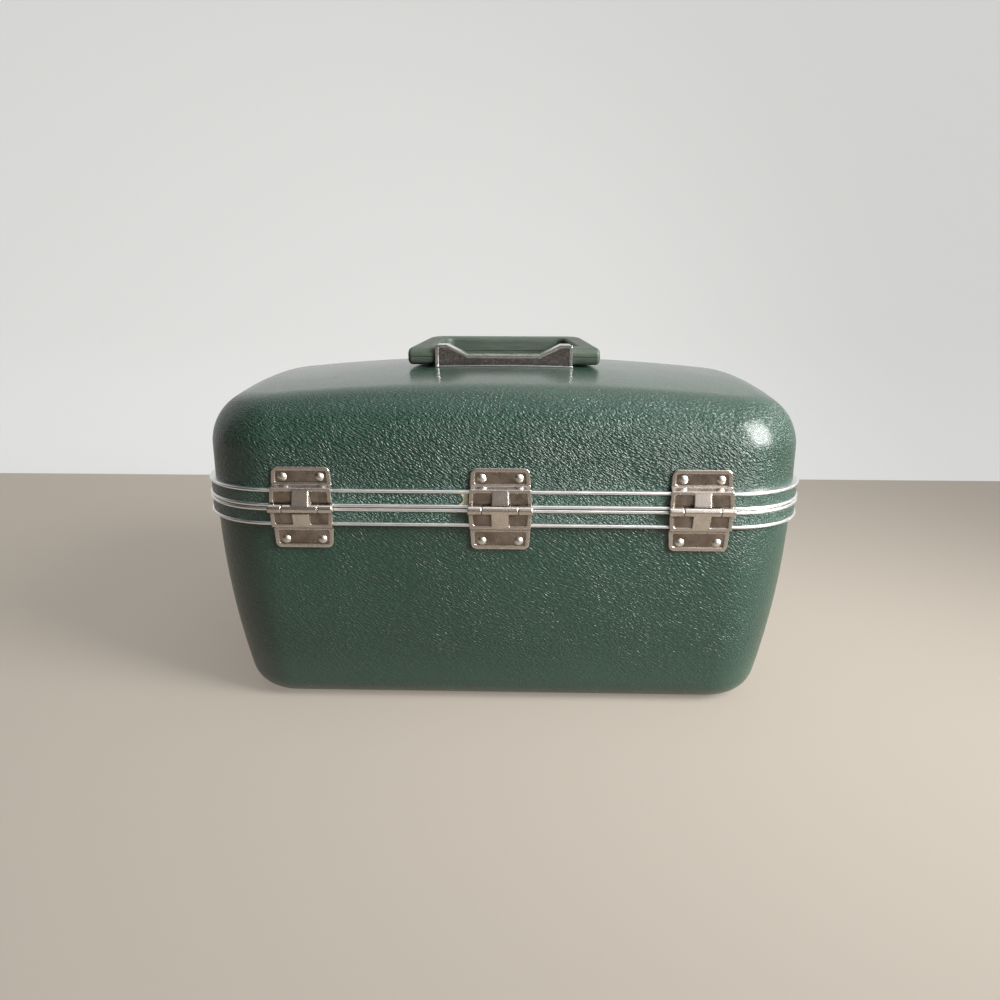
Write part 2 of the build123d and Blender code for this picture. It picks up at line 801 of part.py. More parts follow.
for half, keep, way in (("upper", Keep.TOP, 1), ("lower", Keep.BOTTOM, -1)):
    with BuildPart() as handle_grip:
        add(handle_form.part)
        split(bisect_by=Plane.XY.offset(pivot_level + way * handle_seam / 2), keep=keep)
        add(core_form(core_gap), mode=Mode.SUBTRACT)
        bore_length = handle_pin_reach + 2 * handle_side_gap
        pin_bar(handle_pin_radius + running_gap, bracket_width / 2, bore_length, Mode.SUBTRACT)
    finish(handle_grip, f"handle_grip_{half}")

with BuildPart() as handle_core:
    add(core_form(0))
    pin_bar(handle_pin_radius + running_gap, block_inner, handle_width, Mode.SUBTRACT)
finish(handle_core, "handle_core")

with BuildPart() as handle_pins:
    pin_start = bracket_width / 2 - handle_pin_seat
    pin_bar(handle_pin_radius, pin_start, block_inner + handle_pin_reach - pin_start)
finish(handle_pins, "handle_pins")

# Hasp locks: a plate on the lid carries the hasp, a die-cast case on the base holds the latch
hasp_pin_out = leaf_over_beads + leaf_thickness + knuckle_radius + rest_gap
hasp_half = middle_knuckle / 2
channel_half = hasp_half + channel_gap
nose = hasp_half + lock_clearance
bolt_end = nose + bolt_length
bolt_front = bolt_back + bolt_thickness


def lock_band(side, near, far, out_from, out_to, up_from, up_to, mode=Mode.ADD):
    """Box in a lock: near and far count outwards from the lock's middle, away from the case's."""
    middle = side * (lock_pitch + (near + far) / 2)
    with BuildSketch(front_side(middle)) as section:
        band(out_from, out_to, up_from, up_to)
    extrude(section.sketch, amount=abs(far - near) / 2, both=True, mode=mode)


def lock_disc(side, offset, radius, out_from, out_to, mode=Mode.ADD):
    """Round plug in a lock, along the outward direction."""
    with BuildSketch(front_view(side * (lock_pitch + offset)).offset(out_from)) as disc:
        with Locations((0, latch_level)):
            Circle(radius)
    extrude(disc.sketch, amount=out_to - out_from, mode=mode)


def lock_case(side):
    """Die-cast case with a channel for the hasp, a pocket for the latch and a bore for the key."""
    pocket_low = latch_level - bolt_height / 2 - latch_gap
    pocket_high = latch_level + bolt_height / 2 + latch_gap
    slot_low = latch_level - stem_height / 2 - latch_gap
    slot_high = latch_level + stem_height / 2 + latch_gap
    with BuildPart() as case:
        lock_band(side, -lock_width / 2, lock_width / 2, seat_gap, lock_stand, -lock_drop, -lock_top)
        fillet(case.edges().filter_by(Axis.Y), lock_corner)
        fillet(case.faces().sort_by(Axis.Y)[-1].edges(), lock_edge)
        wide = lock_width
        lock_band(side, -wide, wide, 0, leaf_over_beads, -rim_top - seat_gap, 0, Mode.SUBTRACT)
        beyond = 2 * lock_stand
        lock_band(side, -channel_half, channel_half, channel_floor, beyond, -channel_drop, 0, Mode.SUBTRACT)
        lock_band(
            side, hasp_half, pocket_end, bolt_back - latch_gap, bolt_front + latch_gap,
            pocket_low, pocket_high, Mode.SUBTRACT,
        )
        lock_band(
            side, stem_near - latch_gap, stem_near + stem_width + button_travel + latch_gap,
            bolt_front, beyond, slot_low, slot_high, Mode.SUBTRACT,
        )
        bore = barrel_radius + running_gap
        lock_disc(side, -barrel_offset, bore, barrel_back, beyond, Mode.SUBTRACT)
        rivet_holes(front_view(side * lock_pitch), hinge_rivet_places(-(lock_drop - lock_corner)))
    return case


def lock_button(side):
    """Thumb pad, stem and latch bolt in one piece."""
    pad_back = lock_stand + latch_gap
    pad_front = pad_back + button_stand
    pad_low = latch_level - button_height / 2
    pad_high = latch_level + button_height / 2
    with BuildPart() as button:
        lock_band(side, button_near, button_near + button_length, pad_back, pad_front, pad_low, pad_high)
        fillet(button.faces().sort_by(Axis.Y)[-1].edges(), button_edge)
        for groove in (-1, 0, 1):
            middle = button_near + button_length / 2 + groove * 2 * grip_groove
            lock_band(
                side, middle - grip_groove / 2, middle + grip_groove / 2, pad_front - grip_groove / 2,
                pad_front + grip_groove, pad_low + 2 * grip_groove, pad_high - 2 * grip_groove,
                Mode.SUBTRACT,
            )
        stem_low = latch_level - stem_height / 2
        stem_high = latch_level + stem_height / 2
        lock_band(side, stem_near, stem_near + stem_width, bolt_back, pad_back, stem_low, stem_high)
        bolt_low = latch_level - bolt_height / 2
        bolt_high = latch_level + bolt_height / 2
        lock_band(side, nose, bolt_end, bolt_back, bolt_front, bolt_low, bolt_high)
    return button


def latch_spring(side):
    """Flat strip folded to and fro between the bolt and the end of the pocket."""
    start = bolt_end + seat_gap
    span = pocket_end - seat_gap - start - spring_strip
    pitch = span / spring_folds
    low = latch_level - bolt_height / 2 + latch_gap
    high = latch_level + bolt_height / 2 - latch_gap
    spring_back = bolt_back + latch_gap
    spring_front = bolt_front - latch_gap
    with BuildPart() as spring:
        for fold in range(spring_folds + 1):
            at = start + fold * pitch
            lock_band(side, at, at + spring_strip, spring_back, spring_front, low, high)
        for fold in range(spring_folds):
            at = start + fold * pitch
            turn = high - spring_strip if fold % 2 else low
            lock_band(
                side, at, at + pitch + spring_strip, spring_back, spring_front, turn, turn + spring_strip
            )
    return spring


def key_barrel(side):
    """Lock cylinder with its key slot."""
    with BuildPart() as barrel:
        lock_disc(side, -barrel_offset, barrel_radius, barrel_back + latch_gap, lock_stand + barrel_stand)
        slot_floor = lock_stand + barrel_stand - key_slot_depth
        lock_band(
            side, -barrel_offset - key_slot_width / 2, -barrel_offset + key_slot_width / 2, slot_floor,
            2 * lock_stand, latch_level - key_slot_length / 2, latch_level + key_slot_length / 2, Mode.SUBTRACT,
        )
    return barrel


def hasp_plate(place):
    """Plate riveted to the lid over its rim, with the two outer knuckles of the hasp."""
    spans = knuckle_spans(False)
    middle_up = (hasp_plate_foot + leaf_reach_lid) / 2
    with BuildPart() as plate:
        bent_sheet(front_side(place), leaf_width, 1, leaf_reach_lid)
        with BuildSketch(front_view(place)) as outline:
            with Locations((0, middle_up)):
                RectangleRounded(leaf_width, leaf_reach_lid - hasp_plate_foot, leaf_corner)
        extrude(outline.sketch, amount=corner_radius / 2, both=True, mode=Mode.INTERSECT)
        for offset, length in spans:
            with BuildSketch(front_side(place + offset)) as cheek:
                low = hasp_pivot_up - knuckle_radius
                band(leaf_over_beads, hasp_pin_out, low, low + 2 * knuckle_radius)
            extrude(cheek.sketch, amount=length / 2, both=True)
        rods(place, spans, hasp_pin_out, hasp_pivot_up, knuckle_radius, side=front_side)
        bore = hinge_pin_radius + running_gap
        rods(place, spans, hasp_pin_out, hasp_pivot_up, bore, Mode.SUBTRACT, front_side)
        rivet_holes(front_view(place), hinge_rivet_places(rivet_up_lid))
    return plate


def hasp(place):
    """Hasp: a knuckle, a blade that hangs in the lock's channel and a lip to lift it by."""
    spans = knuckle_spans(True)
    blade_front = hasp_back + hasp_thickness
    with BuildPart() as blade:
        with BuildSketch(front_side(place)) as section:
            band(hasp_back, blade_front, -hasp_drop, hasp_pivot_up)
            band(hasp_back, blade_front + hasp_lip, -hasp_drop, -hasp_drop + hasp_thickness)
        extrude(section.sketch, amount=hasp_half, both=True)
        fillet(blade.edges().filter_by(Axis.Y).group_by(Axis.Z)[0], hasp_corner)
        rods(place, spans, hasp_pin_out, hasp_pivot_up, knuckle_radius, side=front_side)
        bore = hinge_pin_radius + running_gap
        rods(place, spans, hasp_pin_out, hasp_pivot_up, bore, Mode.SUBTRACT, front_side)
    return blade


for name, side in lock_places.items():
    place = side * lock_pitch
    finish(lock_case(side), f"lock_case_{name}")
    finish(lock_button(side), f"lock_button_{name}")
    finish(latch_spring(side), f"latch_spring_{name}")
    finish(key_barrel(side), f"key_barrel_{name}")
    finish(hasp_plate(place), f"hasp_plate_{name}")
    finish(hasp(place), f"hasp_{name}")
    with BuildPart() as hasp_pin:
        span = [(0, leaf_width - 2 * pin_inset)]
        rods(place, span, hasp_pin_out, hasp_pivot_up, hinge_pin_radius, side=front_side)
    finish(hasp_pin, f"hasp_pin_{name}")

with BuildPart() as lock_rivets:
    for side in lock_places.values():
        for x, up in hinge_rivet_places(-(lock_drop - lock_corner)):
            base_grip = shell_wall + wall_inset(lock_drop) + seat_gap
            rivet(front_view(side * lock_pitch), x, up, base_grip, lock_stand)
finish(lock_rivets, "lock_rivets")

with BuildPart() as hasp_rivets:
    for side in lock_places.values():
        for x, up in hinge_rivet_places(rivet_up_lid):
            rivet(front_view(side * lock_pitch), x, up, shell_wall, seat_gap + leaf_thickness)
finish(hasp_rivets, "hasp_rivets")

# Mirror under the crown, in a frame that reaches up to the lining, with a pad behind it
mirror_level = parting + mirror_face_height
lining_under = lining_crown + lining_wall + rest_gap

with BuildPart() as mirror_frame:
    frame_length = mirror_length + 2 * mirror_frame_border
    frame_depth = mirror_depth + 2 * mirror_frame_border
    with BuildSketch(Plane.XY.offset(mirror_level - mirror_frame_lip - seat_gap)):
        RectangleRounded(frame_length, frame_depth, mirror_corner + mirror_frame_border)
        view_length = mirror_length - 2 * mirror_overlap
        view_depth = mirror_depth - 2 * mirror_overlap
        RectangleRounded(view_length, view_depth, mirror_corner - mirror_overlap, mode=Mode.SUBTRACT)
    extrude(amount=lid_round)
    lower_rim = mirror_frame.faces().sort_by(Axis.Z)[0].outer_wire().edges()
    fillet(lower_rim, mirror_overlap)
    with BuildSketch(Plane.XY.offset(mirror_level - seat_gap)):
        RectangleRounded(mirror_length + 2 * seat_gap, mirror_depth + 2 * seat_gap, mirror_corner)
    extrude(amount=lid_round, mode=Mode.SUBTRACT)
    add(crown_form(lining_under), mode=Mode.INTERSECT)
finish(mirror_frame, "mirror_frame")

with BuildPart() as mirror_glass:
    with BuildSketch(Plane.XY.offset(mirror_level)):
        RectangleRounded(mirror_length, mirror_depth, mirror_corner)
    extrude(amount=mirror_thickness)
finish(mirror_glass, "mirror")

with BuildPart() as mirror_pad:
    with BuildSketch(Plane.XY.offset(mirror_level + mirror_thickness + seat_gap)):
        RectangleRounded(mirror_length - mirror_pad_inset, mirror_depth - mirror_pad_inset, mirror_corner)
    extrude(amount=lid_round)
    add(crown_form(lining_under), mode=Mode.INTERSECT)
finish(mirror_pad, "mirror_pad")

# Lift-out tray on two ledges
tray_top = parting - tray_below_parting


def tray_form(inset):
    """Tapered tray block with a rounded bottom, drawn inwards by inset."""
    with BuildPart() as form:
        with BuildSketch(Plane.XY.offset(tray_top)) as mouth:
            wide = 2 * (shell_half_x - tray_side_gap - inset)
            deep = 2 * (shell_half_y - tray_side_gap - inset)
            RectangleRounded(wide, deep, corner_radius - tray_side_gap - inset)
        extrude(mouth.sketch, amount=-(tray_depth - inset), taper=tray_draft)
        fillet(form.faces().sort_by(Axis.Z)[0].edges(), tray_round - inset)
    return form.part


with BuildPart() as tray:
    add(tray_form(0))
    add(tray_form(tray_wall), mode=Mode.SUBTRACT)
    with BuildPart(mode=Mode.PRIVATE) as dividers:
        with BuildSketch(Plane.XY.offset(tray_top - tray_divider_drop)):
            with Locations((-tray_divider_offset, 0), (tray_divider_offset, 0)):
                Rectangle(tray_wall, case_depth)
        extrude(amount=tray_divider_drop - tray_depth + seat_gap)
        add(tray_form(tray_wall - seat_gap), mode=Mode.INTERSECT)
    add(dividers.part)
    for side in (-1, 1):
        lug_face = Plane(
            origin=(side * (shell_half_x - tray_side_gap), 0, tray_top), x_dir=(0, side, 0), z_dir=(side, 0, 0)
        )
        with BuildSketch(lug_face):
            with Locations((0, tray_lug_height / 2 - tray_lug_round / 2)):
                RectangleRounded(tray_lug_width, tray_lug_height + tray_lug_round, tray_lug_round)
            with Locations((0, tray_lug_height - tray_lug_slot_height)):
                SlotOverall(tray_lug_slot, tray_lug_slot_height, mode=Mode.SUBTRACT)
        extrude(amount=-tray_wall)
finish(tray, "tray")

with BuildPart() as tray_ledges:
    ledge_level = tray_top - tray_depth - rest_gap - ledge_thickness / 2
    ledge_x = shell_half_x - wall_inset(parting - ledge_level) - lining_face - lining_wall - ledge_width / 2
    with Locations((-ledge_x, 0, ledge_level), (ledge_x, 0, ledge_level)):
        Box(ledge_width + lining_gap, ledge_length, ledge_thickness)
    add(base_form(lining_face + lining_wall + seat_gap), mode=Mode.INTERSECT)
finish(tray_ledges, "tray_ledges")
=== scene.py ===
import json
import math

import bmesh
import bpy
import numpy as np
from mathutils import Matrix, Vector


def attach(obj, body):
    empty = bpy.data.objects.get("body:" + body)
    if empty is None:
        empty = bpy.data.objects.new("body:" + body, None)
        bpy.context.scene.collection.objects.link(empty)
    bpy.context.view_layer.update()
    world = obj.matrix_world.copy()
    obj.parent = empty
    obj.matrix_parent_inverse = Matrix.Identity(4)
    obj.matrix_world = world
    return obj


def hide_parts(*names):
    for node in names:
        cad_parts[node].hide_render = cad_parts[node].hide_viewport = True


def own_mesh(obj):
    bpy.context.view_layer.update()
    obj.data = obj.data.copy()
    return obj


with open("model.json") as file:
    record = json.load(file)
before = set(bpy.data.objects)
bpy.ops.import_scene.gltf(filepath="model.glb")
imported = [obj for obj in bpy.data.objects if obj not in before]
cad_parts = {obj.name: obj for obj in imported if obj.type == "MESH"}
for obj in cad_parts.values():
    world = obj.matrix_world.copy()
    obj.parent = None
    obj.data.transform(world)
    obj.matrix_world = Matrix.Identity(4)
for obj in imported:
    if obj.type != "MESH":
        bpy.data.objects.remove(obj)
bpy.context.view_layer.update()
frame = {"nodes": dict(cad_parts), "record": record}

NODES = frame["nodes"]

# Places on the case that its finishes follow, in metres
PARTING = 0.1295          # height of the parting plane over the bottom
REAR_FACE = -0.1145       # the shells' outer face behind the hinge leaves
RIM_TOP = 0.0106          # how far the rims reach from the parting
RIM_ROUND = 0.0016        # how far the leaves' step over the rims runs out
PLATE_LEVEL = 0.00125     # how far the hinge leaves' borders stand out of the shell
STEP_LEVEL = 0.00475      # how far they stand out over the rims
BRACKET_MIDDLE = -0.028   # the handle bracket's middle, along Y
LIP_FROM = 0.0058         # where its sunk faces end, out from the middle
LIP_TO = 0.0062           # where its raised lip has begun


# ---------------------------------------------------------------- shader helpers
class Tree:
    """Short hand for building a node tree: each call returns an output socket."""

    def __init__(self, tree):
        self.t = tree

    def link(self, source, target):
        self.t.links.new(source, target)

    def put(self, n, name, v):
        """Links a socket to the node's input, or writes a plain value there."""
        sock = n.inputs[name]
        if isinstance(v, bpy.types.NodeSocket):
            self.link(v, sock)
        else:
            sock.default_value = v

    def node(self, kind, props=None, **inputs):
        """A new node; an underscore in an input's name stands for a space."""
        n = self.t.nodes.new(kind)
        for k, v in (props or {}).items():
            setattr(n, k, v)
        for k, v in inputs.items():
            self.put(n, k.replace("_", " "), v)
        return n

    def math(self, op, a, b=0.0, c=None, clamp=False):
        n = self.node("ShaderNodeMath", {"operation": op, "use_clamp": clamp})
        self.put(n, 0, a)
        self.put(n, 1, b)
        if c is not None:
            self.put(n, 2, c)
        return n.outputs[0]

    def vmath(self, op, a, b):
        n = self.node("ShaderNodeVectorMath", {"operation": op})
        self.put(n, 0, a)
        self.put(n, "Scale" if op == "SCALE" else 1, b)
        return n.outputs["Value" if op == "DOT_PRODUCT" else "Vector"]

    def ramp(self, v, lo, hi, out_lo=0.0, out_hi=1.0, smooth=True):
        """Maps lo..hi to out_lo..out_hi, clamped, and eased where smooth."""
        n = self.node(
            "ShaderNodeMapRange", {"interpolation_type": "SMOOTHSTEP" if smooth else "LINEAR"}
        )
        self.put(n, "Value", v)
        ends = (("From Min", lo), ("From Max", hi), ("To Min", out_lo), ("To Max", out_hi))
        for k, x in ends:
            self.put(n, k, x)
        return n.outputs[0]

    def mix(self, share, a, b, kind="MIX"):
        """Colour a, with the share of b laid over it."""
        n = self.node("ShaderNodeMix", {"data_type": "RGBA", "blend_type": kind})
        self.put(n, 0, share)
        for i, v in ((6, a), (7, b)):
            if isinstance(v, tuple):
                v = (*v, 1.0)
            self.put(n, i, v)
        return n.outputs[2]

    def mix_shaders(self, share, a, b):
        """Shader a, with the share of shader b in its place."""
        n = self.node("ShaderNodeMixShader")
        self.put(n, 0, share)
        self.link(a, n.inputs[1])
        self.link(b, n.inputs[2])
        return n.outputs[0]

    def noise(self, vec, scale, detail=2.0, rough=0.5, output="Fac"):
        n = self.node("ShaderNodeTexNoise", None, Vector=vec, Scale=scale, Detail=detail,
                      Roughness=rough)
        return n.outputs[output]

    def voronoi(self, vec, scale, feature="DISTANCE_TO_EDGE", random=1.0, output="Distance"):
        n = self.node("ShaderNodeTexVoronoi", {"feature": feature}, Vector=vec, Scale=scale,
                      Randomness=random)
        return n.outputs[output]

    def mapping(self, vec, rot=(0, 0, 0), scale=(1, 1, 1)):
        n = self.node("ShaderNodeMapping", None, Vector=vec, Rotation=rot, Scale=scale)
        return n.outputs[0]

    def xyz(self, vec):
        return self.node("ShaderNodeSeparateXYZ", None, Vector=vec).outputs

    def coord(self):
        """The piece's own coordinates, which are the case's, in metres."""
        return self.node("ShaderNodeTexCoord").outputs["Object"]

    def own_normal(self):
        """Which way the surface faces on the piece at rest."""
        return self.node("ShaderNodeTexCoord").outputs["Normal"]


def group(name, inputs, outputs, build):
    """A shader node group: inputs are (name, socket type, default), outputs (name, socket type)."""
    g = bpy.data.node_groups.new(name, "ShaderNodeTree")
    for n, kind, default in inputs:
        s = g.interface.new_socket(name=n, in_out="INPUT", socket_type=kind)
        if default is not None:
            s.default_value = default
    for n, kind in outputs:
        g.interface.new_socket(name=n, in_out="OUTPUT", socket_type=kind)
    inner = g.nodes.new("NodeGroupInput")
    outer = g.nodes.new("NodeGroupOutput")
    for n, sock in build(Tree(g), inner.outputs).items():
        g.links.new(sock, outer.inputs[n])
    return g


def use(t, g, **inputs):
    """Places group g in tree t with its own values, and returns its outputs."""
    n = t.node("ShaderNodeGroup", {"node_tree": g})
    for k, v in inputs.items():
        t.put(n, k, v)
    return n.outputs


def material(name, build):
    """A material whose build(tree, principled) wires the sockets it needs."""
    m = bpy.data.materials.new(name)
    m.use_nodes = True
    m.node_tree.nodes.clear()
    t = Tree(m.node_tree)
    t.surface = t.node("ShaderNodeOutputMaterial").inputs["Surface"]
    p = t.node("ShaderNodeBsdfPrincipled")
    t.link(p.outputs[0], t.surface)
    build(t, p)
    return m


def bump(t, p, height, distance, strength=1.0, bevel=None):
    """Bump from a 0..1 height, over a normal rounded at the edges where bevel is given."""
    b = t.node("ShaderNodeBump", None, Strength=strength, Distance=distance, Height=height)
    if bevel is not None:
        rounded = t.node("ShaderNodeBevel", {"samples": 6}, Radius=bevel)
        t.put(b, "Normal", rounded.outputs[0])
    t.put(p, "Normal", b.outputs[0])


def tinted(colour, by):
    """The colour times by, channel by channel, and 1 at most."""
    return tuple(min(1.0, c * k) for c, k in zip(colour, by))


# ---------------------------------------------------------------- node groups
VECTOR, FLOAT = "NodeSocketVector", "NodeSocketFloat"


def grain_build(t, i):
    """Embossed hide grain: soft ridges between creases, all drawn out along one slant.

    The coordinates are pushed about by a broad and a fine noise, then turned to the slant.
    Height is six parts stretched noise and four parts stretched cells, each 0 in its creases.
    Crease is 1 less the product of the two.
    """
    middle = (0.5, 0.5, 0.5)
    vec = i["Vector"]
    drift = t.vmath("SUBTRACT", t.noise(vec, 18.0, output="Color"), middle)
    fine = t.vmath("SUBTRACT", t.noise(vec, 420.0, output="Color"), middle)
    warped = t.vmath("ADD", vec, t.vmath("SCALE", drift, 0.014))
    warped = t.vmath("ADD", warped, t.vmath("SCALE", fine, 0.0008))
    turned = t.mapping(warped, rot=(math.radians(12), math.radians(59), math.radians(-6)))
    ridges = t.noise(t.mapping(turned, scale=(1.0, 1.0, 0.30)), 1050.0, 1.0, 0.45)
    ridges = t.ramp(ridges, 0.32, 0.68)
    cells = t.voronoi(t.mapping(turned, scale=(1.0, 1.0, 0.44)), 760.0, random=0.8)
    cells = t.ramp(cells, 0.0, 0.36)
    height = t.math("MULTIPLY_ADD", cells, 0.40, t.math("MULTIPLY", ridges, 0.60))
    return {"Height": height,
            "Crease": t.math("SUBTRACT", 1.0, t.math("MULTIPLY", cells, ridges))}


GRAIN = group(
    "embossed_grain",
    [("Vector", VECTOR, None)],
    [("Height", FLOAT), ("Crease", FLOAT)],
    grain_build,
)


def marks_build(t, i):
    """Marks on metal: noise stretched into fine drawn lines, and long thin cell edges cut into it.

    Tarnish is a soft blotchy noise, and Spots are the peaks of a fine one.
    """
    vec = i["Vector"]
    lines = t.noise(t.mapping(vec, scale=(0.03, 1.0, 1.0)), 9000.0, 3.0, 0.7)
    scratches = t.voronoi(t.mapping(vec, rot=(0.4, 0.7, 0.2), scale=(0.05, 1.0, 1.0)), 700.0)
    scratches = t.ramp(scratches, 0.0, 0.012, 1.0, 0.0)
    return {
        "Height": t.math("SUBTRACT", lines, t.math("MULTIPLY", scratches, 0.8)),
        "Tarnish": t.ramp(t.noise(vec, 190.0, 4.0, 0.6), 0.42, 0.68),
        "Spots": t.ramp(t.noise(vec, 1500.0), 0.64, 0.74),
    }


METAL_MARKS = group(
    "metal_marks",
    [("Vector", VECTOR, None)],
    [("Height", FLOAT), ("Tarnish", FLOAT), ("Spots", FLOAT)],
    marks_build,
)


def wear_and_shade_build(t, i):
    """Corner is 1 in corners, where walls within Reach shade the surface.

    Edge is 1 on open edges, where a normal rounded over Radius leaves the face's own.
    """
    shaded = t.node("ShaderNodeAmbientOcclusion", {"samples": 6}, Distance=i["Reach"])
    corner = t.ramp(shaded.outputs["AO"], 0.45, 0.92, 1.0, 0.0)
    rounded = t.node("ShaderNodeBevel", {"samples": 6}, Radius=i["Radius"]).outputs[0]
    own = t.node("ShaderNodeNewGeometry").outputs["Normal"]
    edge = t.ramp(t.vmath("DOT_PRODUCT", rounded, own), 0.70, 0.99, 1.0, 0.0)
    return {"Edge": t.math("MULTIPLY", edge, t.math("SUBTRACT", 1.0, corner)), "Corner": corner}


EDGE_WEAR_AND_SHADE = group(
    "edge_wear_and_corner_shade",
    [("Radius", FLOAT, 0.0004), ("Reach", FLOAT, 0.0022)],
    [("Edge", FLOAT), ("Corner", FLOAT)],
    wear_and_shade_build,
)


def flat_face_build(t, i):
    """1 where the piece's own surface faces front or back, by the size of its normal's Y."""
    return {"Mask": t.ramp(t.math("ABSOLUTE", t.xyz(t.own_normal())[1]), 0.6, 0.8)}


FLAT_FACE = group("front_or_back_face", [], [("Mask", FLOAT)], flat_face_build)


def weave_build(t, i):
    """Plain weave: the size of the product of two sines, one along each set of threads.

    A stretched noise thickens and thins the threads.
    """
    vec = i["Vector"]
    x, y, z = t.xyz(t.vmath("SCALE", vec, i["Threads"]))
    warp = t.math("SINE", t.math("MULTIPLY", t.math("ADD", x, y), math.pi))
    slanted = t.math("ADD", z, t.math("MULTIPLY", y, 0.37))
    weft = t.math("SINE", t.math("MULTIPLY", slanted, math.pi))
    crossing = t.math("ABSOLUTE", t.math("MULTIPLY", warp, weft))
    uneven = t.noise(t.mapping(vec, scale=(1, 1, 0.08)), 1300.0)
    return {"Height": t.math("MULTIPLY_ADD", crossing, 0.75, t.math("MULTIPLY", uneven, 0.35))}


WEAVE = group(
    "plain_weave",
    [("Vector", VECTOR, None), ("Threads", FLOAT, 900.0)],
    [("Height", FLOAT)],
    weave_build,
)


def patches_build(t, i):
    """Soft patches: a noise eased from Low to High as it goes from From to To."""
    cloud = t.noise(i["Vector"], i["Scale"], i["Detail"], i["Roughness"])
    return {"Mask": t.ramp(cloud, i["From"], i["To"], i["Low"], i["High"])}


PATCHES = group(
    "soft_patches",
    [("Vector", VECTOR, None), ("Scale", FLOAT, 20.0), ("Detail", FLOAT, 2.0),
     ("Roughness", FLOAT, 0.5), ("From", FLOAT, 0.3), ("To", FLOAT, 0.7),
     ("Low", FLOAT, 0.0), ("High", FLOAT, 1.0)],
    [("Mask", FLOAT)],
    patches_build,
)


def specks_build(t, i):
    """Round specks: 1 nearer than From to the middle of a cell, 0 farther than To."""
    middle = t.voronoi(i["Vector"], i["Scale"], "F1")
    return {"Mask": t.ramp(middle, i["From"], i["To"], 1.0, 0.0)}


SPECKS = group(
    "round_specks",
    [("Vector", VECTOR, None), ("Scale", FLOAT, 200.0), ("From", FLOAT, 0.05),
     ("To", FLOAT, 0.08)],
    [("Mask", FLOAT)],
    specks_build,
)


def rubs_build(t, i):
    """Long rubs: the peaks of a noise that is turned by Turn and drawn out by Stretch."""
    drawn = t.mapping(i["Vector"], rot=i["Turn"], scale=i["Stretch"])
    return {"Mask": t.ramp(t.noise(drawn, i["Scale"], i["Detail"]), i["From"], i["To"])}


RUBS = group(
    "long_rubs",
    [("Vector", VECTOR, None), ("Turn", VECTOR, None), ("Stretch", VECTOR, (0.1, 1.0, 1.0)),
     ("Scale", FLOAT, 900.0), ("Detail", FLOAT, 2.0), ("From", FLOAT, 0.6), ("To", FLOAT, 0.72)],
    [("Mask", FLOAT)],
    rubs_build,
)


def patches(t, v, scale, detail=2.0, rough=0.5, span=(0.3, 0.7), level=(0.0, 1.0)):
    """Soft patches over the coordinates v, with the noise's span mapped to the level's ends."""
    return use(t, PATCHES, Vector=v, Scale=scale, Detail=detail, Roughness=rough,
               From=span[0], To=span[1], Low=level[0], High=level[1])["Mask"]


# ---------------------------------------------------------------- materials
def green_shell(t, p):
    """Deep green grained face, paler and smoother near the foot, with painted shade in the grain's
    creases, dust and few chips.

    The grain is shallower on the base, on the crown and at the foot, and the crown is glossier.
    """
    v = t.coord()
    z = t.xyz(v)[2]
    level = t.xyz(t.own_normal())[2]
    g = use(t, GRAIN, Vector=v)

    wobble = t.noise(v, 28.0, 3.0)
    low = t.ramp(t.math("MULTIPLY_ADD", wobble, 0.03, z), 0.022, 0.062, 1.0, 0.0)
    base = t.mix(patches(t, v, 9.0, 3.0), (0.0140, 0.0520, 0.0320), (0.0180, 0.0610, 0.0400))
    # Painted shade: the colour is darkened in the grain's creases.
    base = t.mix(t.math("MULTIPLY", g["Crease"], 0.6), base, (0.004, 0.017, 0.010))
    # Paler towards the foot, where low is 1.
    base = t.mix(t.math("MULTIPLY", low, 0.35), base, (0.034, 0.076, 0.052))

    dust = t.math("MULTIPLY", patches(t, v, 2600.0, span=(0.72, 0.78)),
                  patches(t, v, 40.0, span=(0.5, 0.7)))
    base = t.mix(t.math("MULTIPLY", dust, 0.5), base, (0.30, 0.36, 0.30))
    chips = use(t, SPECKS, Vector=v, Scale=190.0, From=0.05, To=0.085)["Mask"]
    at_foot = t.ramp(t.math("MULTIPLY_ADD", wobble, 0.012, z), 0.008, 0.016, 1.0, 0.0)
    base = t.mix(t.math("MULTIPLY", chips, at_foot), base, (0.45, 0.46, 0.40))
    t.put(p, "Base Color", base)

    smooth = t.ramp(wobble, 0.3, 0.7, 0.28, 0.35)
    t.put(p, "Roughness", t.math("MULTIPLY_ADD", g["Crease"], 0.10, smooth))
    p.inputs["Specular IOR Level"].default_value = 0.5
    t.put(p, "Coat Weight", t.ramp(level, 0.80, 0.97, 0.38, 0.90))
    p.inputs["Coat Roughness"].default_value = 0.21

    depth = t.ramp(z, PARTING - 0.02, PARTING + 0.02, 0.50, 1.0)
    depth = t.math("MULTIPLY", depth, t.ramp(level, 0.80, 0.97, 1.0, 0.6))
    depth = t.math("MULTIPLY", depth, t.ramp(low, 0.0, 1.0, 1.0, 0.35, smooth=False))
    bump(t, p, t.math("MULTIPLY", g["Height"], depth), 0.00068)


def green_strip(t, p):
    """Vinyl strip in the rims: the shell's green with a tighter grain, and painted shade in its
    creases.
    """
    g = use(t, GRAIN, Vector=t.vmath("SCALE", t.coord(), 1.15))
    # Painted shade: the colour is darkened in the grain's creases.
    crease = t.math("MULTIPLY", g["Crease"], 0.6)
    t.put(p, "Base Color", t.mix(crease, (0.030, 0.086, 0.060), (0.008, 0.028, 0.018)))
    t.put(p, "Roughness", t.math("MULTIPLY_ADD", g["Crease"], 0.12, 0.27))
    p.inputs["Coat Weight"].default_value = 0.5
    p.inputs["Coat Roughness"].default_value = 0.22
    bump(t, p, g["Height"], 0.00085)


